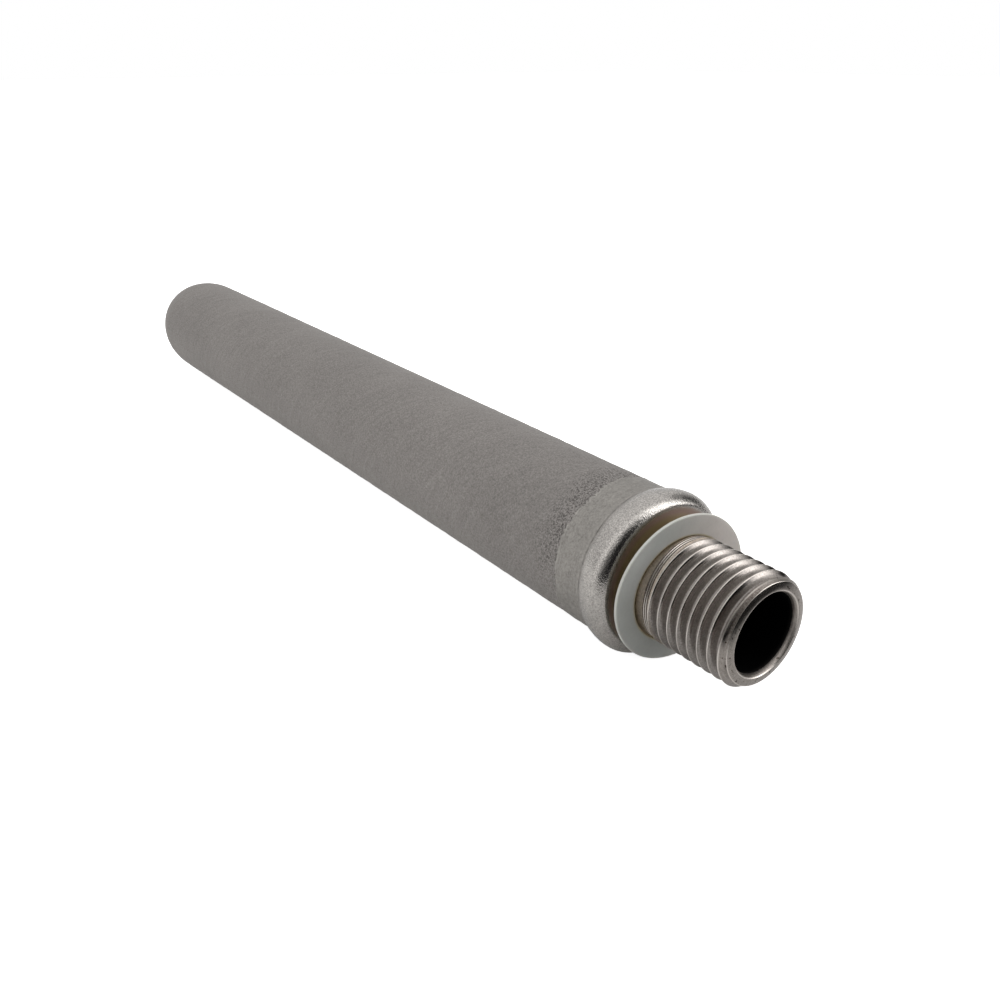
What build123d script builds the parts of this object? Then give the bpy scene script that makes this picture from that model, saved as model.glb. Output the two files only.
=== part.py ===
from build123d import *
import math
import os

# Carbonation stone: a porous stainless tube with one rounded closed end, welded flush to a
# turned fitting whose hollow threaded nipple brings the gas in. A loose flat washer hangs on
# the neck behind the thread. Sizes are in millimetres. X is the axis of the stone: the nipple
# points to +X, and the origin is the centre of the sealing face on the front of the collar.

# Porous tube
TUBE_DIAMETER = 20.0
TUBE_WALL = 2.0
TUBE_LENGTH = 150.0
DOME_LENGTH = 13.0

# Collar and weld band of the fitting
COLLAR_RISE = 0.73
COLLAR_CROWN_SETBACK = 1.75
COLLAR_WIDTH = 4.45
FACE_EDGE_DROP = 1.33
WELD_BAND_WIDTH = 4.3

# Spigot that centres the tube on the fitting
SPIGOT_LENGTH = 4.0
SPIGOT_CLEARANCE = 0.05
SPIGOT_CHAMFER = 0.5

# Nipple: M14 x 1.5 thread, shown plain at its crest diameter, then a relieved neck down to the
# collar
THREAD_DIAMETER = 13.9
THREADED_LENGTH = 11.2
TIP_CHAMFER_LENGTH = 1.4
TIP_CHAMFER_HEIGHT = 0.75
NIPPLE_WALL = 1.95
MOUTH_CHAMFER = 0.3
NECK_LENGTH = 4.55
NECK_RELIEF = 0.2
NECK_ROOT_CHAMFER = 0.4

# Sealing washer, pushed over the thread and caught on the neck, askew and clear of the collar
WASHER_THICKNESS = 0.4
WASHER_RING_WIDTH = 2.7
WASHER_CLEARANCE = 0.15
WASHER_HANG_GAP = 0.08
WASHER_EDGE_GAP = 1.45
WASHER_LEAN_SIDE = 6.0
WASHER_LEAN_UP = -1.0

# Radii that the pieces share
tube_radius = TUBE_DIAMETER / 2
tube_bore_radius = tube_radius - TUBE_WALL
thread_radius = THREAD_DIAMETER / 2
gas_bore_radius = thread_radius - NIPPLE_WALL
neck_radius = thread_radius - NECK_RELIEF
crown_radius = tube_radius + COLLAR_RISE
face_edge_radius = crown_radius - FACE_EDGE_DROP
spigot_radius = tube_bore_radius - SPIGOT_CLEARANCE

# Stations along the axis that the pieces share
tip_x = NECK_LENGTH + THREADED_LENGTH
crease_x = -COLLAR_WIDTH
seam_x = crease_x - WELD_BAND_WIDTH


def turned(lines):
    """Solid of revolution about X of the closed outline, drawn as (x, radius)."""
    return revolve(make_face(Curve() + lines), Axis.X, 360)


def quarter_dome(centre_x, length, radius):
    """Quarter ellipse from the tube's side to the axis at its closed end."""
    return EllipticalCenterArc((centre_x, 0), length, radius, start_angle=90, arc_size=90)


def sintered_tube():
    """Tube with an elliptical dome of even wall, open where it meets the fitting."""
    dome_x = seam_x - TUBE_LENGTH + DOME_LENGTH
    outer_end = dome_x - DOME_LENGTH
    inner_end = outer_end + TUBE_WALL
    return turned([
        Line((seam_x, tube_radius), (dome_x, tube_radius)),
        quarter_dome(dome_x, DOME_LENGTH, tube_radius),
        Line((outer_end, 0), (inner_end, 0)),
        quarter_dome(dome_x, DOME_LENGTH - TUBE_WALL, tube_bore_radius),
        Line((dome_x, tube_bore_radius), (seam_x, tube_bore_radius)),
        Line((seam_x, tube_bore_radius), (seam_x, tube_radius)),
    ])


def threaded_fitting():
    """Nipple, neck, crowned collar, weld band and spigot, bored through for the gas."""
    tip_radius = thread_radius - TIP_CHAMFER_HEIGHT
    spigot_end = seam_x - SPIGOT_LENGTH
    crown = (-COLLAR_CROWN_SETBACK, crown_radius)
    face_edge = (0, face_edge_radius)
    crease = (crease_x, tube_radius)
    nipple_and_face = Polyline(
        (tip_x - MOUTH_CHAMFER, gas_bore_radius),
        (tip_x, gas_bore_radius + MOUTH_CHAMFER),
        (tip_x, tip_radius),
        (tip_x - TIP_CHAMFER_LENGTH, thread_radius),
        (NECK_LENGTH, thread_radius),
        (NECK_LENGTH - NECK_RELIEF, neck_radius),
        (NECK_ROOT_CHAMFER, neck_radius),
        (0, neck_radius + NECK_ROOT_CHAMFER),
        face_edge,
    )
    front_of_collar = TangentArc(crown, face_edge, tangent=(1, 0))
    back_of_collar = TangentArc(crown, crease, tangent=(-1, 0))
    band_and_spigot = Polyline(
        crease,
        (seam_x, tube_radius),
        (seam_x, spigot_radius),
        (spigot_end + SPIGOT_CHAMFER, spigot_radius),
        (spigot_end, spigot_radius - SPIGOT_CHAMFER),
        (spigot_end, gas_bore_radius),
        (tip_x - MOUTH_CHAMFER, gas_bore_radius),
    )
    return turned([nipple_and_face, front_of_collar, back_of_collar, band_and_spigot])


def sealing_washer():
    """Flat ring, leaning on the neck so that its left edge comes nearest to the collar."""
    hole_radius = neck_radius + WASHER_CLEARANCE
    outer_radius = hole_radius + WASHER_RING_WIDTH
    ring = Cylinder(outer_radius, WASHER_THICKNESS) - Cylinder(hole_radius, WASHER_THICKNESS)
    lean = math.radians(math.hypot(WASHER_LEAN_SIDE, WASHER_LEAN_UP))
    centre_x = WASHER_EDGE_GAP + outer_radius * math.sin(lean) + WASHER_THICKNESS / 2 * math.cos(lean)
    drop = WASHER_CLEARANCE - WASHER_HANG_GAP
    facing_x = Rot(0, 90, 0) * ring
    leaning = Rot(0, 0, -WASHER_LEAN_SIDE) * (Rot(0, -WASHER_LEAN_UP, 0) * facing_x)
    return Pos(centre_x, 0, -drop) * leaning


os.makedirs("parts", exist_ok=True)
export_step(sintered_tube(), "parts/sintered_tube.step")
export_step(threaded_fitting(), "parts/threaded_fitting.step")
export_step(sealing_washer(), "parts/sealing_washer.step")
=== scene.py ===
"""Looks of the carbonation stone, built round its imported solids.

Blender's metres are used for every object. The shapes are worked out in millimetres along the
stone's own axis X, with Z up, and the skin function turns them into metres. Patterns are counted
per millimetre, and places in a material are in metres.
"""

import bmesh
import bpy
import numpy as np
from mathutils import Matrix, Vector


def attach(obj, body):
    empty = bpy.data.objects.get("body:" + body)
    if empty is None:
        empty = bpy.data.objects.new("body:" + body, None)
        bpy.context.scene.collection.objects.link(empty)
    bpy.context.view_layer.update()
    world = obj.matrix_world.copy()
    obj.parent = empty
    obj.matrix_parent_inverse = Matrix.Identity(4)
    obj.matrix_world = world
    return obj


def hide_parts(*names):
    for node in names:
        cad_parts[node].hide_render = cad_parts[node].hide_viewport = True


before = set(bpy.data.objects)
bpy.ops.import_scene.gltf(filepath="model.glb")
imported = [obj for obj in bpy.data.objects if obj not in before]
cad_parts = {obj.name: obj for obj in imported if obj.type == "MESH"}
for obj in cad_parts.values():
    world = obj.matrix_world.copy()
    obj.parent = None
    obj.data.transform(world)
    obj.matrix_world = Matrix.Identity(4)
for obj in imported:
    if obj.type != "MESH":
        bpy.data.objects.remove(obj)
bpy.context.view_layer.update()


# Porous tube: stainless powder pressed and sintered in one piece, with an even wall and one
# rounded closed end. Its outside is matt, with open pores and faint slanting marks of the
# rubber mould it was pressed in. The open end is welded flush to the fitting.
MILLIMETRE = 0.001
FULL_TURN = 2 * np.pi
COLUMNS = 240
MERGE_DISTANCE = 2e-7
SHARP_ANGLE = np.radians(50)
TUBE_RADIUS = 10.0
TUBE_BORE_RADIUS = 8.0
TUBE_WALL = TUBE_RADIUS - TUBE_BORE_RADIUS
SEAM_X = -8.75
TUBE_END_X = -158.75
DOME_LENGTH = 13.0
TUBE_RIPPLE = 0.012
RIPPLE_FADE_ON_DOME = 8.0
RIPPLE_FADE_AT_SEAM = 1.5
FINE_ROWS_LENGTH = 4.0
BEAD_HEIGHT = 0.05
BEAD_WIDTH = 0.12
POWDER_COLOUR = (0.372, 0.351, 0.335)
PORE_COLOUR = (0.085, 0.078, 0.072, 1)
BAND_COLOUR = (0.360, 0.342, 0.319)
POWDER_ROUGHNESS = 0.74
BAND_ROUGHNESS = 0.52
METAL_RELIEF = 0.05
# How far the marks of the mould wind round the tube, in radians for a millimetre along it
MOULD_TWIST = 0.143
# The coarse pores by the weld are whole up to the first distance from the seam and gone at the next
COARSE_PORES_WHOLE = 0.95
COARSE_PORES_GONE = 5.45


def ripples(x, angle, waves, length, turns, seed):
    """Smooth unevenness of size about 1 over a turned surface.
    It is a sum of cos(k x + n a + phase) with drawn k, n and phase: the waves are at least
    `length` mm long in x, and n is a whole number up to `turns`, so the round closes."""
    draw = np.random.default_rng(seed)
    total = np.zeros(np.broadcast(x, angle).shape)
    for _ in range(waves):
        along = draw.uniform(-1, 1) * FULL_TURN / length
        around = draw.integers(-turns, turns + 1)
        total += np.cos(along * x + around * angle + draw.uniform(0, FULL_TURN))
    return total / np.sqrt(waves / 2)


def seam_line(angle):
    """Place along X of the ragged weld edge, which wanders about the joint of the two pieces."""
    slow = 0.10 * np.cos(3 * angle + 0.7) + 0.07 * np.cos(7 * angle + 2.1)
    quick = 0.06 * np.cos(19 * angle + 4.0) + 0.05 * np.cos(31 * angle + 1.3)
    return SEAM_X + slow + quick


def weld_bead(x, angle):
    """Height of the thin broken ridge along the weld edge: a bell over x, uneven round the turn."""
    strength = 0.55 + 0.45 * np.cos(5 * angle + 1.0) * np.cos(23 * angle)
    return BEAD_HEIGHT * strength * np.exp(-(((x - seam_line(angle)) / BEAD_WIDTH) ** 2))


def skin(name, x, radius, angle, marks=None):
    """Closed mesh whose point is (x, radius cos a, radius sin a) over profile row and column.
    The first and last column lie a full turn apart. The merge closes them, the poles and the
    pinched rows. Each mark is a number for every point, kept as an attribute of that name."""
    x, radius, angle = np.broadcast_arrays(x, radius, angle)
    points = np.stack([x, radius * np.cos(angle), radius * np.sin(angle)], axis=-1)
    rows, columns = x.shape
    corner = np.arange(rows * columns).reshape(rows, columns)
    around = [corner[:-1, :-1], corner[1:, :-1], corner[1:, 1:], corner[:-1, 1:]]
    mesh = bpy.data.meshes.new(name)
    mesh.from_pydata((points * MILLIMETRE).reshape(-1, 3).tolist(), [],
                     np.stack(around, axis=-1).reshape(-1, 4).tolist())
    for mark, values in (marks or {}).items():
        kept = mesh.attributes.new(mark, "FLOAT", "POINT")
        kept.data.foreach_set("value", np.broadcast_to(values, x.shape).astype(np.float32).ravel())
    merged = bmesh.new()
    merged.from_mesh(mesh)
    bmesh.ops.remove_doubles(merged, verts=merged.verts, dist=MERGE_DISTANCE)
    merged.to_mesh(mesh)
    merged.free()
    mesh.shade_smooth()
    mesh.set_sharp_from_angle(angle=SHARP_ANGLE)
    piece = bpy.data.objects.new(name, mesh)
    bpy.context.scene.collection.objects.link(piece)
    return piece


def tube_surface():
    """Tube from its inner pole to its outer pole: quarter ellipses for the closed end, straight
    walls, and the flat rim at the seam. The outside is lifted by shallow ripples and the bead.
    Its rows lie closest near the seam, where the bead is."""
    angle = np.linspace(0, FULL_TURN, COLUMNS + 1)[None, :]
    dome_x = TUBE_END_X + DOME_LENGTH
    quarter = np.linspace(0, np.pi / 2, 33)
    inner_dome_x = dome_x - (DOME_LENGTH - TUBE_WALL) * np.cos(quarter[::2])
    inner_dome_r = TUBE_BORE_RADIUS * np.sin(quarter[::2])
    inner_x = np.linspace(dome_x, SEAM_X, 12)[1:]
    from_seam = np.concatenate([np.linspace(0, FINE_ROWS_LENGTH, 41),
                                np.linspace(FINE_ROWS_LENGTH, SEAM_X - dome_x, 216)[1:-1]])
    outer_x = SEAM_X - from_seam
    outer_dome_x = dome_x - DOME_LENGTH * np.sin(quarter)
    outer_dome_r = TUBE_RADIUS * np.cos(quarter)
    x = np.concatenate([inner_dome_x, inner_x, outer_x, outer_dome_x])[:, None]
    radius = np.concatenate([inner_dome_r, np.full(len(inner_x), TUBE_BORE_RADIUS),
                             np.full(len(outer_x), TUBE_RADIUS), outer_dome_r])[:, None]
    outside = np.arange(len(x))[:, None] >= len(inner_dome_x) + len(inner_x)
    on_dome, at_seam = (x - dome_x) / RIPPLE_FADE_ON_DOME + 1, (SEAM_X - x) / RIPPLE_FADE_AT_SEAM
    fade = np.clip(on_dome, 0, 1) * np.clip(at_seam, 0, 1)
    rippled = TUBE_RIPPLE * ripples(x, angle, waves=60, length=1.6, turns=22, seed=3)
    lift = rippled * fade + weld_bead(x, angle)
    return skin("porous_tube", x, radius + outside * lift, angle)


def new_material(name):
    """Material with a surface shader that is still to be set."""
    material = bpy.data.materials.new(name)
    material.use_nodes = True
    return material


def add(material, kind, inputs=None, **settings):
    """One node. Inputs are numbers, colours or other nodes' sockets, by name or place."""
    made = material.node_tree.nodes.new("ShaderNode" + kind)
    for setting, value in settings.items():
        setattr(made, setting, value)
    for socket, value in (inputs or {}).items():
        if isinstance(value, bpy.types.NodeSocket):
            material.node_tree.links.new(value, made.inputs[socket])
        else:
            made.inputs[socket].default_value = value
    return made


def reckon(material, operation, first, second=0.0):
    """One sum on two numbers or sockets."""
    return add(material, "Math", {0: first, 1: second}, operation=operation).outputs[0]


def times(material, first, second):
    """Product of two numbers or sockets."""
    return reckon(material, "MULTIPLY", first, second)


def plus(material, first, second):
    """Sum of two numbers or sockets."""
    return reckon(material, "ADD", first, second)


def less(material, first, second):
    """First less second."""
    return reckon(material, "SUBTRACT", first, second)


def spread(material, value, low, high, to_low=0.0, to_high=1.0):
    """Takes low to to_low and high to to_high, smoothly and no further."""
    inputs = {0: value, 1: low, 2: high, 3: to_low, 4: to_high}
    return add(material, "MapRange", inputs, interpolation_type="SMOOTHSTEP").outputs[0]


def bell(material, value, middle, width):
    """exp(-((value - middle) / width)^2)."""
    away = times(material, less(material, value, middle), 1 / width)
    return reckon(material, "EXPONENT", times(material, times(material, away, away), -1.0))


def blend(material, share, first, second):
    """Colour that goes from first to second as share goes from 0 to 1."""
    return add(material, "Mix", {0: share, 6: first, 7: second}, data_type="RGBA").outputs[2]


def shaded(material, colour, share):
    """The colour made darker or lighter: by half at a share of 0, unchanged at 0.5, by half at 1."""
    dark, light = (tuple(part * change for part in colour) + (1,) for change in (0.5, 1.5))
    return blend(material, share, dark, light)


def mixed(material, share, first, second):
    """Number that goes from first to second with share."""
    return add(material, "Mix", {0: share, 2: first, 3: second}).outputs[0]


def noise(material, place, per_mm, detail=2.0, roughness=0.5):
    """Cloudy pattern with about per_mm features a millimetre, about 0.5 in the middle."""
    inputs = {"Vector": place, "Scale": per_mm / MILLIMETRE, "Detail": detail, "Roughness": roughness}
    return add(material, "TexNoise", inputs).outputs[0]


def uneven(material, base, *patterns):
    """The base number with each (pattern, weight) swung about it by its weight."""
    for pattern, weight in patterns:
        base = plus(material, base, times(material, less(material, pattern, 0.5), weight))
    return base


def mark_value(material, name):
    """The number that the mesh carries under that name."""
    return add(material, "Attribute", attribute_name=name).outputs["Fac"]


def finish_with(material, colour, roughness, height, depth_mm, metallic):
    """Puts the worked out colour, roughness and relief on the shader."""
    links = material.node_tree.links
    shader = material.node_tree.nodes["Principled BSDF"]
    relief = add(material, "Bump", {"Distance": depth_mm * MILLIMETRE, "Height": height})
    links.new(colour, shader.inputs["Base Color"])
    links.new(roughness, shader.inputs["Roughness"])
    links.new(relief.outputs[0], shader.inputs["Normal"])
    shader.inputs["Metallic"].default_value = metallic
    return shader


def places(material):
    """Object coordinates in metres, and their parts, which go by the names X, Y and Z."""
    place = add(material, "TexCoord").outputs["Object"]
    return place, add(material, "SeparateXYZ", {0: place}).outputs


def weld_edge(material, place, along):
    """X counted from the ragged edge of the weld, in metres: above 0 on the band."""
    coarse = times(material, less(material, noise(material, place, 0.5), 0.5), 1.6 * MILLIMETRE)
    torn = noise(material, place, 3.2, 3.0, 0.7)
    fine = times(material, less(material, torn, 0.5), 1.2 * MILLIMETRE)
    ragged = plus(material, along, plus(material, coarse, fine))
    return less(material, ragged, SEAM_X * MILLIMETRE)


def band_share(material, edge):
    """0 on the powder and 1 on the weld band, with a short soft step at the ragged edge."""
    return spread(material, edge, -0.05 * MILLIMETRE, 0.10 * MILLIMETRE)


def sintered_look(material, place, parts):
    """Colour and relief of sintered powder: fine grain, soft clouds, slanting marks, and open
    pores, which are coarse and dark within a few millimetres of the weld, most on the top."""
    twist = times(material, parts["X"], MOULD_TWIST / MILLIMETRE)
    wound = add(material, "VectorRotate", {"Vector": place, "Angle": twist}, rotation_type="X_AXIS")
    drawn = add(material, "Mapping", {"Vector": wound.outputs[0], "Scale": (0.16, 1, 1)}).outputs[0]
    marks = noise(material, drawn, 1.3, 3.0, 0.6)
    clouds = noise(material, place, 0.06, 4.0, 0.6)
    grain = noise(material, place, 4.0, 2.0, 0.8)
    near_seam = spread(material, parts["X"], (SEAM_X - COARSE_PORES_GONE) * MILLIMETRE,
                       (SEAM_X - COARSE_PORES_WHOLE) * MILLIMETRE)
    on_top = spread(material, parts["Z"], -4 * MILLIMETRE, 5 * MILLIMETRE, 0.25, 1.0)
    near_weld = times(material, near_seam, on_top)
    coarse_grain = times(material, less(material, grain, 0.5), times(material, near_weld, 1.3))
    share = uneven(material, coarse_grain, (grain, 1.2), (marks, 0.30), (clouds, 0.25))
    colour = shaded(material, POWDER_COLOUR, plus(material, share, 0.5))
    pores = spread(material, noise(material, place, 4.2, 1.0, 0.5), 0.50, 0.66)
    open_here = plus(material, noise(material, place, 0.9, 1.0), times(material, near_weld, 0.30))
    depth = times(material, pores, spread(material, open_here, 0.50, 0.70))
    depth = times(material, depth, mixed(material, near_weld, 0.15, 0.62))
    height = uneven(material, 0.5, (grain, 1.0), (marks, 0.45))
    return blend(material, depth, colour, PORE_COLOUR), less(material, height, depth)


def weld_look(material, place, edge):
    """Colour and relief of the blasted weld band: a little paler than the powder, smoother, with
    fine turned scratches and a thin painted highlight along the ragged edge, where the bead is."""
    mottle = noise(material, place, 0.9, 3.0, 0.65)
    drawn = add(material, "Mapping", {"Vector": place, "Scale": (1, 0.12, 0.12)}).outputs[0]
    scratches = noise(material, drawn, 5.5, 2.0, 0.6)
    grain = noise(material, place, 3.6, 2.0, 0.7)
    broken = spread(material, noise(material, place, 0.7, 1.0), 0.42, 0.58, 0.05, 0.30)
    # Painted highlight: a thin, broken light line along the ragged weld edge, where the bead catches
    # the light
    rim_highlight = times(material, bell(material, edge, 0.14 * MILLIMETRE, 0.12 * MILLIMETRE), broken)
    share = plus(material, uneven(material, 0.5, (mottle, 0.45), (scratches, 0.4), (grain, 0.8)), rim_highlight)
    height = uneven(material, 0.5, (scratches, 0.5), (mottle, 0.4), (grain, 0.8))
    return shaded(material, BAND_COLOUR, share), height


tube_finish = new_material("sintered stainless")
place, parts = places(tube_finish)
edge = weld_edge(tube_finish, place, parts["X"])
on_band = band_share(tube_finish, edge)
powder_colour, powder_height = sintered_look(tube_finish, place, parts)
band_colour, band_height = weld_look(tube_finish, place, edge)
finish_with(tube_finish,
            blend(tube_finish, on_band, powder_colour, band_colour),
            mixed(tube_finish, on_band, POWDER_ROUGHNESS, BAND_ROUGHNESS),
            mixed(tube_finish, on_band, powder_height, band_height),
            METAL_RELIEF, metallic=1.0)

tube = tube_surface()
tube.data.materials.append(tube_finish)
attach(tube, "root")
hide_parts("sintered_tube")


# Threaded fitting: one stainless turning with a hollow nipple, a relieved neck, a flat face and
# a crowned collar, welded to the tube and centred in it by a spigot. Collar and band are blasted,
# the face keeps its heat tint, and the M14 x 1.5 thread runs left-handed, as in the photograph.
TIP_X = 15.75
TIP_RADIUS = 6.2
CREST_RADIUS = 6.95
TIP_CHAMFER_LENGTH = 1.1
BORE_RADIUS = 5.0
MOUTH_RADIUS = 5.3
MOUTH_DEPTH = 0.6
MOUTH_BLEND = 0.05
LIP_ROUNDING = 0.10
LIP_FALL = 0.2
NECK_X = 4.2
NECK_RADIUS = 6.75
NECK_ROOT = 0.5
FACE_EDGE_RADIUS = 9.4
FACE_EDGE_ROUNDING = 0.12
CROWN_X = -1.75
CROWN_RADIUS = 10.73
CREASE_X = -4.45
CREASE_LINE_X = -4.12
SPIGOT_RADIUS = 7.95
SPIGOT_END_X = -12.75
SPIGOT_CHAMFER = 0.5
PITCH = 1.5
FIRST_CREST_X = 12.56
THREAD_TOP_X = 15.5
THREAD_TURNS = 9
TURNS_BEYOND_TIP = 3
RUN_OUT_AT_TIP = 0.55
RUN_OUT_AT_NECK = 0.30
# Half a thread profile: distance from the middle of the crest, and depth below it. The flank
# leans by 30 degrees, and crest and root are rounded.
THREAD_STEPS = np.array([0, 0.025, 0.040, 0.060, 0.090, 0.140, 0.240, 0.350, 0.460,
                         0.560, 0.610, 0.660, 0.750])
THREAD_DEPTHS = np.array([0, 0, 0.005, 0.024, 0.073, 0.159, 0.332, 0.522, 0.712,
                          0.880, 0.935, 0.955, 0.960])
TURNING_RIDGES = (NECK_X - 0.20, NECK_X - 0.50, NECK_X - 0.80)
RIDGE_RISE = 0.02
RIDGE_GLINT = 0.070
VALLEY_FALL = 0.11
MOUTH_GLINT = 0.06
LIP_EDGE_GLINT = 0.05
BAND_WAVE = 0.014
DENT_LEAST = 0.006
DENT_SWING = 0.010
# Where the painted shade on the chamfer lies round the axis, and half its width, in radians: a dark
# patch that stands for a reflection of the dark room in front
CHAMFER_SHADE_ANGLE = 2.32
CHAMFER_SHADE_SPREAD = 0.62
BLAST_COLOUR = (0.50, 0.475, 0.447)
FLANK_COLOUR = (0.308, 0.282, 0.262)
NECK_COLOUR = (0.42, 0.355, 0.295)
CHAMFER_COLOUR = (0.38, 0.345, 0.315)
CHAMFER_SHADE_COLOUR = (0.075, 0.058, 0.048, 1)
# Painted highlight on the thread crests, the turning ridges and both edges of the end ring
CREST_HIGHLIGHT_COLOUR = (0.86, 0.80, 0.74, 1)
OLIVE_COLOUR = (0.27, 0.235, 0.14, 1)
# Painted shade for the thin broken dark line in the crease behind the collar
CREASE_SHADE_COLOUR = (0.03, 0.027, 0.024, 1)
# Painted shade, near black deep in the bore and, a little less, in the grooves between the turning
# ridges
BORE_AND_GROOVE_SHADE_COLOUR = (0.004, 0.004, 0.004, 1)
# Heat tint of the sealing face, by share of the way out: straw, brown, violet and brown again
HEAT_STOPS = ((0.0, (0.50, 0.41, 0.29, 1)), (0.35, (0.46, 0.37, 0.24, 1)),
              (0.65, (0.43, 0.32, 0.28, 1)), (0.9, (0.42, 0.32, 0.27, 1)))
COLLAR_ROUGHNESS = 0.20
TINT_ROUGHNESS = 0.48
CREST_ROUGHNESS = 0.24
BURNISH_ROUGHNESS = 0.13
BORE_ROUGHNESS = 0.9


def line(start, end, count):
    """Points from start to end, the end left out, as rows of (x, radius)."""
    return np.linspace(start, end, count, endpoint=False)


def bend(start, corner, end, count):
    """Rounded corner: the parabola that leaves start towards corner and arrives at end."""
    t = np.linspace(0, 1, count, endpoint=False)[:, None]
    start, corner, end = map(np.array, (start, corner, end))
    return (1 - t) ** 2 * start + 2 * t * (1 - t) * corner + t ** 2 * end


def arc(centre, size, start, end, count):
    """Circle arc in the (x, radius) plane from angle start to end, in radians."""
    t = np.linspace(start, end, count, endpoint=False)[:, None]
    return np.array(centre) + size * np.concatenate([np.cos(t), np.sin(t)], axis=1)


def crown_circle(edge_x, edge_radius):
    """Centre and size of the circle that is level at the crown's top and meets the edge given,
    and the angle of that edge. Top and edge both lie size away from (crown x, c), which gives
    c = (top^2 - edge^2 - run^2) / (2 (top - edge)), with run the way along X to the edge."""
    run = edge_x - CROWN_X
    centre = (CROWN_RADIUS ** 2 - edge_radius ** 2 - run ** 2) / (2 * (CROWN_RADIUS - edge_radius))
    return (CROWN_X, centre), CROWN_RADIUS - centre, np.arctan2(edge_radius - centre, run)


def bore_and_tip():
    """From the inner end of the bore out to the mouth, over the end ring, which is rounded like
    a lip and falls away outwards, and onto the chamfer."""
    chamfer_rise = (CREST_RADIUS - TIP_RADIUS) / TIP_CHAMFER_LENGTH
    lip_start, lip_end = MOUTH_RADIUS + LIP_ROUNDING, TIP_RADIUS + chamfer_rise * LIP_FALL
    lip_r = np.linspace(lip_start, lip_end - 0.04, 12)
    lip_x = TIP_X - LIP_FALL * ((lip_r - lip_start) / (lip_end - lip_start)) ** 1.5
    chamfer_start = (THREAD_TOP_X, TIP_RADIUS + chamfer_rise * (TIP_X - THREAD_TOP_X))
    deep_x, mouth_x = TIP_X - 3, TIP_X - MOUTH_DEPTH - MOUTH_BLEND
    return np.concatenate([
        line((SPIGOT_END_X, BORE_RADIUS), (deep_x, BORE_RADIUS), 6),
        line((deep_x, BORE_RADIUS), (mouth_x, BORE_RADIUS), 5),
        bend((mouth_x, BORE_RADIUS), (TIP_X - 0.12, BORE_RADIUS + 0.06), (TIP_X, lip_start), 14),
        np.stack([lip_x[:-1], lip_r[:-1]], axis=1),
        bend((lip_x[-1], lip_r[-1]), (TIP_X - LIP_FALL, lip_end), chamfer_start, 4),
    ])


def neck_and_collar():
    """From the end of the thread over the turning ridges, neck, face and collar to the crease.
    The two arcs of the collar stop short of the face's edge and of the crease, which are
    rounded off."""
    front_centre, front_size, edge_angle = crown_circle(0, FACE_EDGE_RADIUS)
    back_centre, back_size, crease_angle = crown_circle(CREASE_X, TUBE_RADIUS)
    edge_cut, crease_cut = 0.066, 0.012
    ridge, valley = NECK_RADIUS + RIDGE_RISE, NECK_RADIUS - VALLEY_FALL
    one_ridge = np.array([(0.03, ridge - 0.02), (0, ridge), (-0.03, ridge - 0.02),
                          (-0.09, valley + 0.02), (-0.15, valley), (-0.21, valley + 0.02)])
    last_ridge = TURNING_RIDGES[-1]
    root = (0, NECK_RADIUS + NECK_ROOT)
    face_end = (0, FACE_EDGE_RADIUS - FACE_EDGE_ROUNDING)
    return np.concatenate([
        line((NECK_X, CREST_RADIUS), (NECK_X - 0.06, NECK_RADIUS - 0.05), 2),
        np.array([(NECK_X - 0.08, valley), (NECK_X - 0.12, valley + 0.02)]),
        *[one_ridge + (middle, 0) for middle in TURNING_RIDGES],
        np.array([(last_ridge - 0.28, NECK_RADIUS), (last_ridge - 0.40, NECK_RADIUS)]),
        line((last_ridge - 0.50, NECK_RADIUS), (NECK_ROOT, NECK_RADIUS), 12),
        bend((NECK_ROOT, NECK_RADIUS), (0.05, NECK_RADIUS + 0.05), root, 6),
        line(root, face_end, 8),
        bend(face_end, (0, FACE_EDGE_RADIUS), (-0.04, FACE_EDGE_RADIUS + FACE_EDGE_ROUNDING), 4),
        arc(front_centre, front_size, edge_angle + edge_cut, np.pi / 2, 22),
        arc(back_centre, back_size, np.pi / 2, crease_angle - crease_cut, 24),
    ])


def band_and_spigot():
    """From the crease along the weld band, down the butt joint and over the spigot inside."""
    band_start = (CREASE_X - 0.2, TUBE_RADIUS)
    chamfer_x, chamfer_r = SPIGOT_END_X + SPIGOT_CHAMFER, SPIGOT_RADIUS - SPIGOT_CHAMFER
    return np.concatenate([
        bend((CREASE_X + 0.06, TUBE_RADIUS + 0.03), (CREASE_X, TUBE_RADIUS), band_start, 4),
        line(band_start, (SEAM_X, TUBE_RADIUS), 36),
        line((SEAM_X, TUBE_RADIUS), (SEAM_X, SPIGOT_RADIUS), 3),
        line((SEAM_X, SPIGOT_RADIUS), (chamfer_x, SPIGOT_RADIUS), 4),
        line((chamfer_x, SPIGOT_RADIUS), (SPIGOT_END_X, chamfer_r), 2),
        line((SPIGOT_END_X, chamfer_r), (SPIGOT_END_X, BORE_RADIUS), 4),
        np.array([(SPIGOT_END_X, BORE_RADIUS)]),
    ])


def smooth_step(value):
    """0 below 0, 1 above 1, and 3 v^2 - 2 v^3 between."""
    value = np.clip(value, 0, 1)
    return value * value * (3 - 2 * value)


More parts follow.
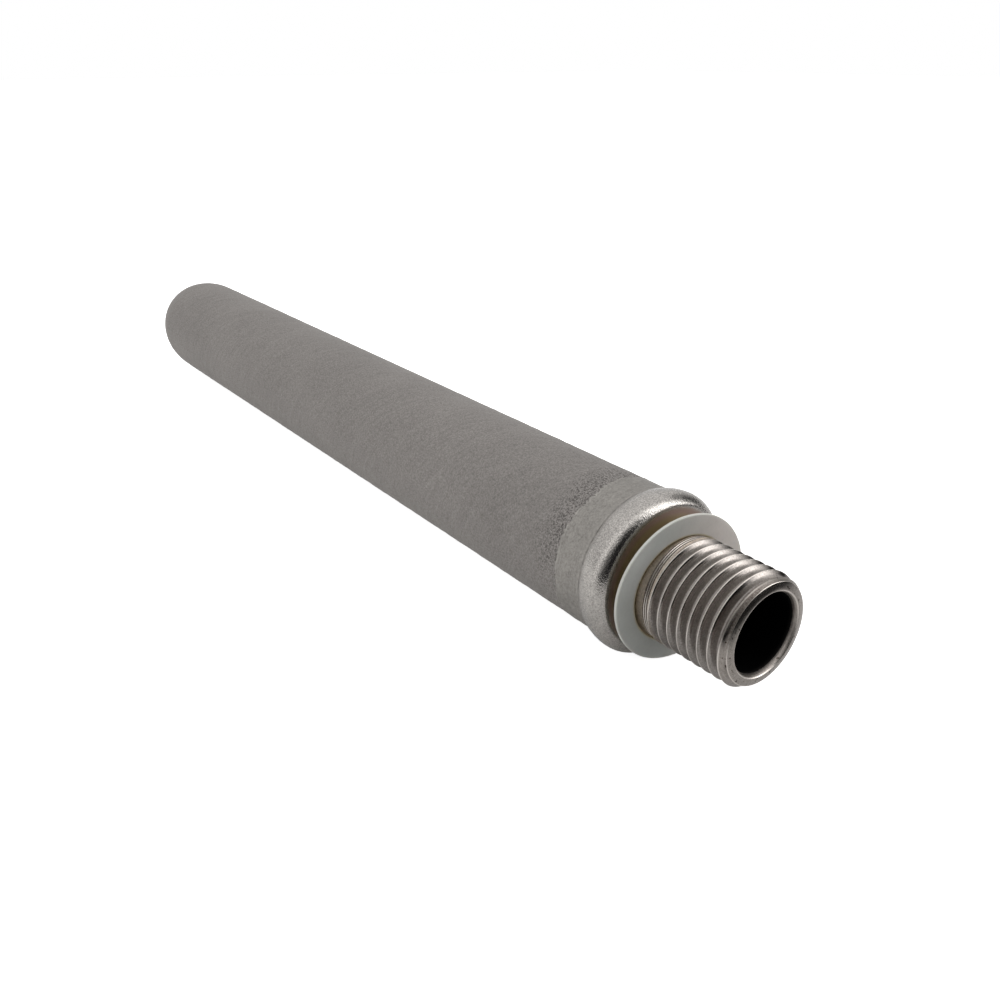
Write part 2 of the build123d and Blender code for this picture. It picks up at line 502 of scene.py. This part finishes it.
def thread_rows(angle):
    """Rows that follow the helix x = first crest - pitch (turn + row), held between the tip
    chamfer and the neck. The depth comes from the half profile by distance to the crest, is
    cut off by the chamfer, and fades out at both ends. The tool has burnished the top of the
    flank on the tip's side of each crest, which the last of the results marks."""
    one_pitch = np.concatenate([THREAD_STEPS, PITCH - THREAD_STEPS[-2:0:-1]])
    pitches = np.arange(THREAD_TURNS)[:, None] * PITCH
    back = np.append((pitches + one_pitch[None, :]).ravel(), THREAD_TURNS * PITCH)[:, None]
    helix = FIRST_CREST_X + TURNS_BEYOND_TIP * PITCH - back - PITCH * angle / FULL_TURN
    x = np.clip(helix, NECK_X, THREAD_TOP_X)
    phase = (x - FIRST_CREST_X) / PITCH + angle / FULL_TURN
    beyond = (phase - np.round(phase)) * PITCH
    distance = np.abs(beyond)
    depth = np.interp(distance, THREAD_STEPS, THREAD_DEPTHS)
    chamfer = TIP_RADIUS + (CREST_RADIUS - TIP_RADIUS) * (TIP_X - x) / TIP_CHAMFER_LENGTH
    outline = np.minimum(CREST_RADIUS, chamfer)
    cut = np.maximum(0, outline - (CREST_RADIUS - depth))
    at_tip, at_neck = (THREAD_TOP_X - x) / RUN_OUT_AT_TIP, (x - NECK_X) / RUN_OUT_AT_NECK
    ends = smooth_step(at_tip) * smooth_step(at_neck)
    crest = (1 - smooth_step((distance - 0.04) / 0.04)) * smooth_step(THREAD_TOP_X - x)
    burnish = smooth_step((beyond - 0.06) / 0.04) * (1 - smooth_step((beyond - 0.24) / 0.12))
    return x, outline - cut * ends, crest, burnish * ends


def fitting_surface():
    """The whole turning as one closed skin: plain rows round the axis and helical thread rows.
    Marks: crest is 1 on thread crests, turning ridges and the two edges of the end ring, where the
    colour paints highlights, tip is 1 on the chamfer and end ring, the chamfer's own mark lies on its
    upper left, where the colour paints shade, burnish beside the crests and on the end ring, neck on
    the neck, tint on the face, and dark is painted shade, near black in the bore and, less so,
    between the turning ridges."""
    angle = np.linspace(0, FULL_TURN, COLUMNS + 1)[None, :]
    flat = np.ones_like(angle)
    before, after = bore_and_tip(), np.concatenate([neck_and_collar(), band_and_spigot()])
    before_x, before_r = before[:, :1], before[:, 1:]
    after_x, after_r = after[:, :1], after[:, 1:]
    thread_x, thread_radius, thread_crest, thread_burnish = thread_rows(angle)
    x = np.concatenate([before_x * flat, thread_x, after_x * flat])
    radius = np.concatenate([before_r * flat, thread_radius, after_r * flat])

    # Marks that go by the row of the profile
    # The crest mark also carries painted highlights: bright lines on the thread crests, the turning
    # ridges and both edges of the end ring
    ridge = sum(np.exp(-(((after_x - middle) / RIDGE_GLINT) ** 2)) for middle in TURNING_RIDGES)
    mouth_edge = np.exp(-(((before_r - MOUTH_RADIUS) / MOUTH_GLINT) ** 2)) * (before_x > TIP_X - 0.3)
    outer_edge = 0.8 * np.exp(-(((before_r - TIP_RADIUS - 0.12) / LIP_EDGE_GLINT) ** 2))
    crest = np.concatenate([np.maximum(mouth_edge, outer_edge) * flat, thread_crest, ridge * flat])
    lip = smooth_step((before_r - MOUTH_RADIUS - 0.05) / 0.1) * (before_x > TIP_X - LIP_FALL)
    burnish = np.concatenate([0.8 * lip * flat, thread_burnish, np.zeros_like(after_x) * flat])
    # Painted shade: the dark mark blacks out the bore and darkens the grooves between the turning
    # ridges
    deep = smooth_step((TIP_X - MOUTH_DEPTH + MOUTH_BLEND - before_x) / 0.12)
    groove = (after_r < NECK_RADIUS - 0.06) & (after_x > 3)
    dark = np.concatenate([deep * (before_r < BORE_RADIUS + 0.1) * flat,
                           np.zeros_like(thread_x), 0.7 * groove * flat])

    # Waves and bead of the weld band, and the small dents that blasting leaves in the collar
    band = (x < CREASE_X - 0.15) & (x > SEAM_X - 0.01) & (radius > TUBE_RADIUS - 0.1)
    rippled = BAND_WAVE * ripples(x, angle, waves=40, length=1.4, turns=20, seed=9)
    wavy = rippled * smooth_step((x - SEAM_X) / 0.8)
    collar = (x < -0.2) & (x > CREASE_X - 0.1)
    dented = ripples(x, angle, waves=40, length=1.2, turns=26, seed=5)
    dents = -(DENT_LEAST + DENT_SWING * np.abs(dented)) * collar
    radius = radius + band * (wavy + weld_bead(x, angle)) + dents

    # Marks that go by the place on the surface
    tint = smooth_step((0.6 - x) / 0.5) * smooth_step((9.25 - radius) / 0.35) * (x > -0.1)
    neck = smooth_step((x - 0.05) / 0.4) * smooth_step((4.5 - x) / 0.3)
    tip = smooth_step((x - 14.5) / 0.5)
    # Painted shade: a dark patch on the upper left of the chamfer, standing for the dark room
    # mirrored there
    upper_left = np.exp(-(((angle - CHAMFER_SHADE_ANGLE) / CHAMFER_SHADE_SPREAD) ** 4))
    on_chamfer = smooth_step((x - 14.2) / 0.5) * smooth_step((TIP_X - LIP_FALL + 0.02 - x) / 0.05)
    marks = {"crest": crest, "burnish": burnish, "dark": dark, "tint": tint, "neck": neck,
             "tip": tip, "painted_chamfer_shade": upper_left * on_chamfer}
    return skin("threaded_fitting_turned", x, radius, angle, marks)


fitting_finish = new_material("turned stainless")
place, parts = places(fitting_finish)
along = parts["X"]
across = add(fitting_finish, "CombineXYZ", {0: 0.0, 1: parts["Y"], 2: parts["Z"]}).outputs[0]
from_axis = add(fitting_finish, "VectorMath", {0: across}, operation="LENGTH").outputs["Value"]
edge = weld_edge(fitting_finish, place, along)
on_powder = less(fitting_finish, 1.0, band_share(fitting_finish, edge))
powder_colour, powder_height = sintered_look(fitting_finish, place, parts)
band_colour, band_height = weld_look(fitting_finish, place, edge)

# Blasted steel of the collar, with a sparkling grain, and a broken dark line of painted shade in the
# crease behind it
blast_grain = noise(fitting_finish, place, 4.6, 1.5, 0.6)
blast_fine = noise(fitting_finish, place, 8.0, 1.0, 0.5)
blast_cloud = noise(fitting_finish, place, 0.3, 3.0, 0.6)
blast_share = uneven(fitting_finish, 0.5, (blast_grain, 1.1), (blast_fine, 1.0), (blast_cloud, 0.4))
blast_colour = shaded(fitting_finish, BLAST_COLOUR, blast_share)
blast_height = uneven(fitting_finish, 0.5, (blast_grain, 0.55), (blast_fine, 0.30))
crease_line = bell(fitting_finish, along, CREASE_LINE_X * MILLIMETRE, 0.08 * MILLIMETRE)
crease_shade_breaks = spread(fitting_finish, noise(fitting_finish, place, 0.8, 2.0), 0.42, 0.62, 0.1, 0.8)
crease = times(fitting_finish, crease_line, crease_shade_breaks)

# Turned steel of the nipple: rings of tool marks, brown-grey flanks and bright crests
ring_place = add(fitting_finish, "CombineXYZ", {0: along, 1: from_axis, 2: 0.0}).outputs[0]
rings = noise(fitting_finish, ring_place, 9.0, 2.0, 0.7)
stain = noise(fitting_finish, place, 0.35, 4.0, 0.6)
speckle = noise(fitting_finish, place, 4.5, 2.0, 0.7)
turned_share = uneven(fitting_finish, 0.5, (rings, 0.35), (stain, 0.45), (speckle, 1.1))
turned_height = uneven(fitting_finish, 0.5, (rings, 0.25), (speckle, 0.45))
tool_marks = spread(fitting_finish, rings, 0.3, 0.7, 0.34, 0.48)
nipple_colour = shaded(fitting_finish, FLANK_COLOUR, turned_share)

# Chamfer and end ring: paler, with small pits, and painted shade on the upper left of the chamfer
# that stands for a dark reflection
on_tip = mark_value(fitting_finish, "tip")
pits = spread(fitting_finish, noise(fitting_finish, place, 2.0, 1.0), 0.67, 0.73)
painted_chamfer_shade = times(fitting_finish, mark_value(fitting_finish, "painted_chamfer_shade"),
                spread(fitting_finish, speckle, 0.2, 0.7, 1.0, 0.6))
pits_and_chamfer_shade = reckon(fitting_finish, "MAXIMUM", times(fitting_finish, on_tip, pits), painted_chamfer_shade)
nipple_colour = blend(fitting_finish, on_tip, nipple_colour,
                      shaded(fitting_finish, CHAMFER_COLOUR, turned_share))
nipple_colour = blend(fitting_finish, pits_and_chamfer_shade, nipple_colour, CHAMFER_SHADE_COLOUR)

# Neck, straw with an olive root at the face, and the painted highlights on the crests, brightest
# where the stain pattern leaves the steel lighter
off_root = spread(fitting_finish, along, 1.2 * MILLIMETRE, 2.6 * MILLIMETRE)
neck_colour = blend(fitting_finish, off_root, OLIVE_COLOUR,
                    shaded(fitting_finish, NECK_COLOUR, turned_share))
nipple_colour = blend(fitting_finish, mark_value(fitting_finish, "neck"), nipple_colour, neck_colour)
crest = mark_value(fitting_finish, "crest")
crest_highlight = times(fitting_finish, crest, spread(fitting_finish, stain, 0.25, 0.5, 0.7, 1.0))
nipple_colour = blend(fitting_finish, crest_highlight, nipple_colour, CREST_HIGHLIGHT_COLOUR)

# Heat tint of the face, from the neck out
way_out = {0: from_axis, 1: 7.0 * MILLIMETRE, 2: 9.5 * MILLIMETRE}
ring_share = add(fitting_finish, "MapRange", way_out).outputs[0]
heat = add(fitting_finish, "ValToRGB", {0: ring_share})
for stop, (position, colour) in enumerate(HEAT_STOPS):
    step = heat.color_ramp.elements[stop] if stop < 2 else heat.color_ramp.elements.new(position)
    step.position = position
    step.color = colour

on_nipple = spread(fitting_finish, along, 0.02 * MILLIMETRE, 0.12 * MILLIMETRE)
ahead_of_crease = spread(fitting_finish, along, -4.9 * MILLIMETRE, -3.0 * MILLIMETRE)
behind_crease = less(fitting_finish, 1.0, ahead_of_crease)
tinted = mark_value(fitting_finish, "tint")
burnished = mark_value(fitting_finish, "burnish")
dark = mark_value(fitting_finish, "dark")
colour = blend(fitting_finish, behind_crease, blast_colour, band_colour)
colour = blend(fitting_finish, crease, colour, CREASE_SHADE_COLOUR)
colour = blend(fitting_finish, on_powder, colour, powder_colour)
colour = blend(fitting_finish, on_nipple, colour, nipple_colour)
colour = blend(fitting_finish, tinted, colour, heat.outputs[0])
# Painted shade in the bore and between the turning ridges
colour = blend(fitting_finish, dark, colour, BORE_AND_GROOVE_SHADE_COLOUR)
roughness = mixed(fitting_finish, behind_crease, COLLAR_ROUGHNESS, BAND_ROUGHNESS)
roughness = mixed(fitting_finish, on_powder, roughness, POWDER_ROUGHNESS)
roughness = mixed(fitting_finish, on_nipple, roughness, tool_marks)
roughness = mixed(fitting_finish, tinted, roughness, TINT_ROUGHNESS)
roughness = mixed(fitting_finish, crest, roughness, CREST_ROUGHNESS)
roughness = mixed(fitting_finish, burnished, roughness, BURNISH_ROUGHNESS)
roughness = mixed(fitting_finish, dark, roughness, BORE_ROUGHNESS)
height = mixed(fitting_finish, behind_crease, blast_height, band_height)
height = mixed(fitting_finish, on_powder, height, powder_height)
height = mixed(fitting_finish, on_nipple, height, turned_height)
height = mixed(fitting_finish, burnished, height, 0.5)
finish_with(fitting_finish, colour, roughness, height, METAL_RELIEF, metallic=1.0)

fitting = fitting_surface()
fitting.data.materials.append(fitting_finish)
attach(fitting, "root")
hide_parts("threaded_fitting")


# Sealing washer: a thin flat ring of milky, slightly see-through plastic, punched from sheet.
# It hangs loose and askew on the neck, with a softly rounded rim and a yellowed hole edge.
WASHER_HOLE_RADIUS = 6.9
WASHER_RADIUS = 9.6
WASHER_THICKNESS = 0.4
WASHER_LEAN_SIDE = np.radians(6.0)
WASHER_LEAN_UP = np.radians(-1.0)
WASHER_EDGE_GAP = 1.45
WASHER_DROP = 0.07
WASHER_ROUNDING = 0.1
WASHER_RELIEF = 0.006
HOLE_EDGE_WIDTH = 0.30
MILK_COLOUR = (0.505, 0.520, 0.500)
# Paler, warmer colour for the painted light that shines through the washer on its +Y side
SHINE_THROUGH_COLOUR = (0.70, 0.655, 0.62)
YELLOWED_COLOUR = (0.50, 0.44, 0.28, 1)
RIM_HIGHLIGHT_COLOUR = (0.80, 0.79, 0.72, 1)
RIM_HIGHLIGHT_STRENGTH = 0.5


def washer_surface():
    """Ring with rounded corners, worked out flat, waved by a few hundredths of a millimetre,
    then leant to the side and up and moved to its place on the neck."""
    half = WASHER_THICKNESS / 2
    cut = WASHER_ROUNDING
    inner, outer = WASHER_HOLE_RADIUS, WASHER_RADIUS
    profile = np.concatenate([
        line((half, inner + cut), (half, outer - cut), 12),
        bend((half, outer - cut), (half, outer), (half - cut, outer), 5),
        line((half - cut, outer), (cut - half, outer), 3),
        bend((cut - half, outer), (-half, outer), (-half, outer - cut), 5),
        line((-half, outer - cut), (-half, inner + cut), 12),
        bend((-half, inner + cut), (-half, inner), (cut - half, inner), 5),
        line((cut - half, inner), (half - cut, inner), 3),
        bend((half - cut, inner), (half, inner), (half, inner + cut), 5),
    ])
    profile = np.concatenate([profile, profile[:1]])[::-1]
    angle = np.linspace(0, FULL_TURN, COLUMNS + 1)[None, :]
    height, radius = profile[:, :1], profile[:, 1:]
    wave = 0.05 * np.cos(3 * angle + 1.0) + 0.03 * np.cos(5 * angle)
    across, aloft = radius * np.cos(angle), radius * np.sin(angle)
    out = height + wave * (radius - inner) / (outer - inner)
    lean = np.hypot(WASHER_LEAN_SIDE, WASHER_LEAN_UP)
    centre_x = WASHER_EDGE_GAP + outer * np.sin(lean) + half * np.cos(lean)
    up_x = out * np.cos(WASHER_LEAN_UP) - aloft * np.sin(WASHER_LEAN_UP)
    up_z = out * np.sin(WASHER_LEAN_UP) + aloft * np.cos(WASHER_LEAN_UP)
    x = centre_x + up_x * np.cos(WASHER_LEAN_SIDE) + across * np.sin(WASHER_LEAN_SIDE)
    y = across * np.cos(WASHER_LEAN_SIDE) - up_x * np.sin(WASHER_LEAN_SIDE)
    z = up_z - WASHER_DROP
    # The rim mark carries the painted highlight along the washer's outer edge
    marks = {"hole": smooth_step((inner + HOLE_EDGE_WIDTH - radius) / HOLE_EDGE_WIDTH),
             "rim_highlight": smooth_step((radius - outer + 0.14) / 0.08)}
    return skin("sealing_washer_ring", x, np.hypot(y, z), np.arctan2(z, y), marks)


washer_finish = new_material("milky washer plastic")
place, parts = places(washer_finish)
clouds = noise(washer_finish, place, 0.18, 3.0, 0.6)
specks = noise(washer_finish, place, 2.5, 2.0, 0.6)
milk_share = uneven(washer_finish, 0.5, (clouds, 0.3), (specks, 0.12))
# Painted light: the plastic grows paler and warmer towards +Y, standing for light shining through it
# there, and stays greyer over the dark face
milk = blend(washer_finish, spread(washer_finish, parts["Y"], -4 * MILLIMETRE, 6 * MILLIMETRE),
             shaded(washer_finish, MILK_COLOUR, milk_share),
             shaded(washer_finish, SHINE_THROUGH_COLOUR, milk_share))
milk = blend(washer_finish, mark_value(washer_finish, "hole"), milk, YELLOWED_COLOUR)
# Painted highlight: the outer rim is lightened all round
on_rim_highlight = times(washer_finish, mark_value(washer_finish, "rim_highlight"), RIM_HIGHLIGHT_STRENGTH)
milk = blend(washer_finish, on_rim_highlight, milk, RIM_HIGHLIGHT_COLOUR)
satin = spread(washer_finish, specks, 0.3, 0.7, 0.36, 0.48)
shader = finish_with(washer_finish, milk, satin, specks, WASHER_RELIEF, metallic=0.0)
shader.inputs["Subsurface Weight"].default_value = 0.45
shader.inputs["Subsurface Radius"].default_value = (1.0, 0.97, 0.9)
shader.inputs["Subsurface Scale"].default_value = 1.2 * MILLIMETRE
shader.inputs["IOR"].default_value = 1.38

washer = washer_surface()
washer.data.materials.append(washer_finish)
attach(washer, "root")
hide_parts("sealing_washer")


# Studio: a pale floor that reflects as dark in front of the stone, and a room that is pale grey
# behind the closed end and fades to dark in front of the thread. Along the start of that fade
# lies one long soft light, brightest on the right, which gives the collar its pale streak.
FLOOR_Z = -CROWN_RADIUS * MILLIMETRE
FLOOR_SIZE = 6.0
FLOOR_SHADE = (0.80, 0.80, 0.80, 1)
FLOOR_DARK = (0.02, 0.02, 0.02, 1)
FLOOR_GLOW = 0.86
FLOOR_BACK_GLOW = 0.15
WHITE = (1, 1, 1, 1)
LIGHT_CONE_AXIS = (0.867, -0.375, -0.329)
LIGHT_CONE_COSINE = 0.21
LIGHT_WIDTH = 0.20
LIGHT_LEFT = 0.42
LIGHT_RIGHT = 2.8
BACK_GREY = 0.84
FRONT_GREY = 0.015

floor_mesh = bpy.data.meshes.new("floor")
half = FLOOR_SIZE / 2
floor_mesh.from_pydata([(-half, -half, FLOOR_Z), (half, -half, FLOOR_Z),
                        (half, half, FLOOR_Z), (-half, half, FLOOR_Z)], [], [(0, 1, 2, 3)])
floor = bpy.data.objects.new("floor", floor_mesh)
bpy.context.scene.collection.objects.link(floor)
floor_finish = new_material("pale floor")
paper = floor_finish.node_tree.nodes["Principled BSDF"]
paper.inputs["Roughness"].default_value = 1.0
paper.inputs["Specular IOR Level"].default_value = 0.0
paper.inputs["Emission Color"].default_value = WHITE
seen_straight = add(floor_finish, "LightPath").outputs["Is Camera Ray"]
place, parts = places(floor_finish)
ahead = spread(floor_finish, parts["X"], 22 * MILLIMETRE, 55 * MILLIMETRE)
in_front = less(floor_finish, ahead, seen_straight)
floor_colour = blend(floor_finish, in_front, FLOOR_SHADE, FLOOR_DARK)
back_glow = spread(floor_finish, parts["X"], -30 * MILLIMETRE, 5 * MILLIMETRE, FLOOR_BACK_GLOW, 0.0)
glow = mixed(floor_finish, seen_straight, back_glow, FLOOR_GLOW)
floor_finish.node_tree.links.new(floor_colour, paper.inputs["Base Color"])
floor_finish.node_tree.links.new(glow, paper.inputs["Emission Strength"])
floor_mesh.materials.append(floor_finish)

# The room's grey is worked out for each direction. Y of the direction grows towards the right of
# the stone's open end, as the camera sees it, and Z grows upwards.
room = bpy.data.worlds.new("studio room")
room.use_nodes = True
bpy.context.scene.world = room
direction = add(room, "TexCoord").outputs["Generated"]
cosine = add(room, "VectorMath", {0: direction, 1: LIGHT_CONE_AXIS}, operation="DOT_PRODUCT")
off_light = less(room, cosine.outputs["Value"], LIGHT_CONE_COSINE)
room_parts = add(room, "SeparateXYZ", {0: direction}).outputs
side, upward = room_parts["Y"], room_parts["Z"]
strip_middle = spread(room, side, 0.1, 0.55, -0.08, 0.06)
strip_strength = spread(room, side, 0.0, 0.6, LIGHT_LEFT, LIGHT_RIGHT)
strip = times(room, bell(room, off_light, strip_middle, LIGHT_WIDTH), strip_strength)
right_gap = times(room, spread(room, side, 0.68, 0.90), spread(room, off_light, -1.0, -0.5))
fade_end = spread(room, side, -0.65, -0.30, 0.80, 0.42)
behind = less(room, 1.0, spread(room, off_light, -0.05, fade_end))
right_share = less(room, 1.0, times(room, right_gap, 0.9))
height_share = spread(room, upward, 0.0, 0.8, 0.72, 1.0)
behind = times(room, behind, times(room, right_share, height_share))
grey = plus(room, strip, mixed(room, behind, FRONT_GREY, BACK_GREY))
walls = add(room, "CombineXYZ", {0: grey, 1: grey, 2: grey}).outputs[0]
seen_straight = add(room, "LightPath").outputs["Is Camera Ray"]
room.node_tree.links.new(blend(room, seen_straight, walls, WHITE),
                         room.node_tree.nodes["Background"].inputs["Color"])
bpy.context.scene.view_settings.view_transform = "Standard"

# Camera: where the photograph was taken from, fitted to the outline of the stone
CAMERA_PLACE = Vector((0.06977, -0.07645, 0.05781))
CAMERA_DIRECTION = Vector((-0.7284, 0.5394, -0.4227))
CAMERA_LENS = 34.51

camera_data = bpy.data.cameras.new("camera")
camera_data.lens = CAMERA_LENS
camera_data.sensor_width = 36.0
camera_data.clip_start = 0.005
camera_data.clip_end = 50.0
camera = bpy.data.objects.new("camera", camera_data)
camera.location = CAMERA_PLACE
camera.rotation_euler = CAMERA_DIRECTION.to_track_quat("-Z", "Y").to_euler()
bpy.context.scene.collection.objects.link(camera)
bpy.context.scene.camera = camera
